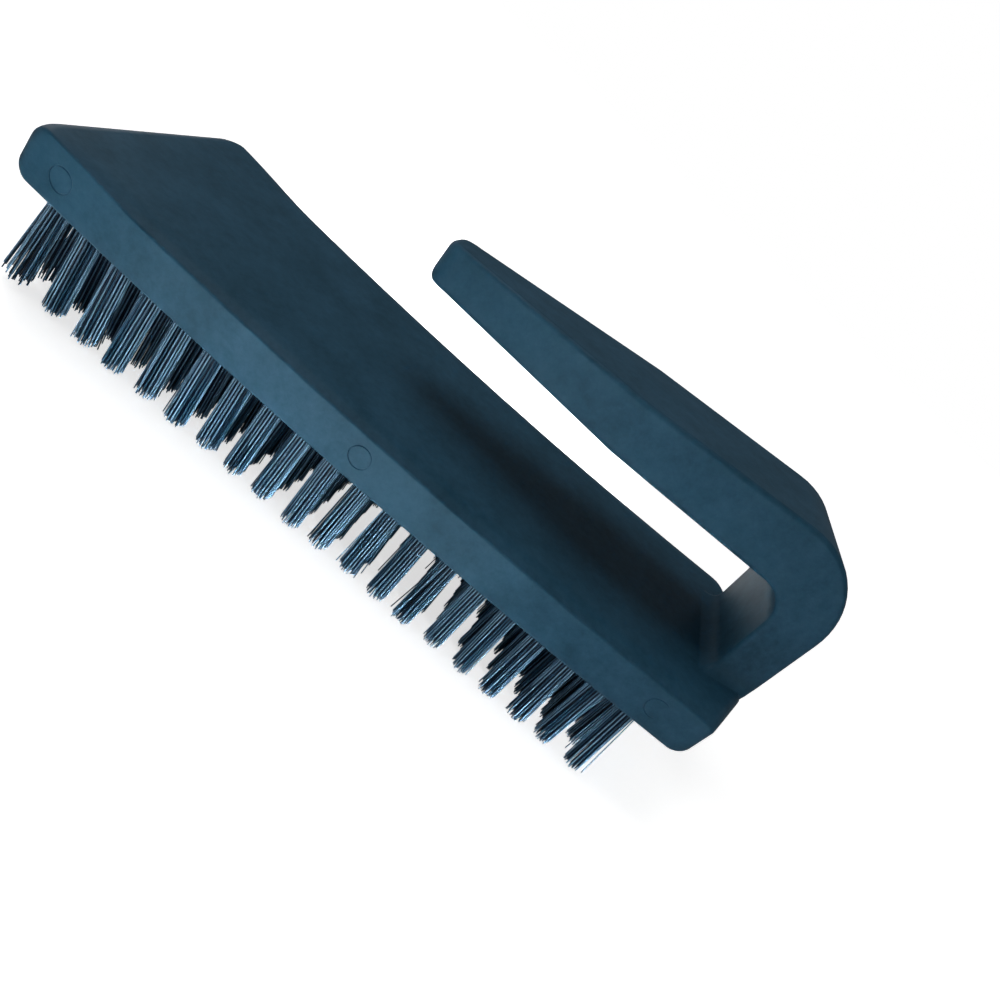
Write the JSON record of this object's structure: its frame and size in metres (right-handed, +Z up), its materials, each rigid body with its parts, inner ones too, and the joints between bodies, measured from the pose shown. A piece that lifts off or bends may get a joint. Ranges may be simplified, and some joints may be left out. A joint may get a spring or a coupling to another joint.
{
  "type": "anti-static brush",
  "caption": "Hand brush with a long bowed block, a handle bar held over it by a post at the rear and free at its nose, and rows of straight conductive bristle tufts below.",
  "frame": {"origin": "centre of the bounding box on the plane of the trimmed bristle tips", "axes": "+X along the block from its front end to the post, +Y across the block, +Z up from the tips to the handle"},
  "size_m": [0.179, 0.06, 0.0728],
  "materials": {
    "plastic": "satin moulded blue-black plastic",
    "bristle": "dark blue-grey drawn filament"
  },
  "bodies": {
    "root": {"body": "plastic", "front_tufts": "bristle", "mid_front_tufts": "bristle", "mid_rear_tufts": "bristle", "rear_tufts": "bristle"}
  },
  "joints": []
}
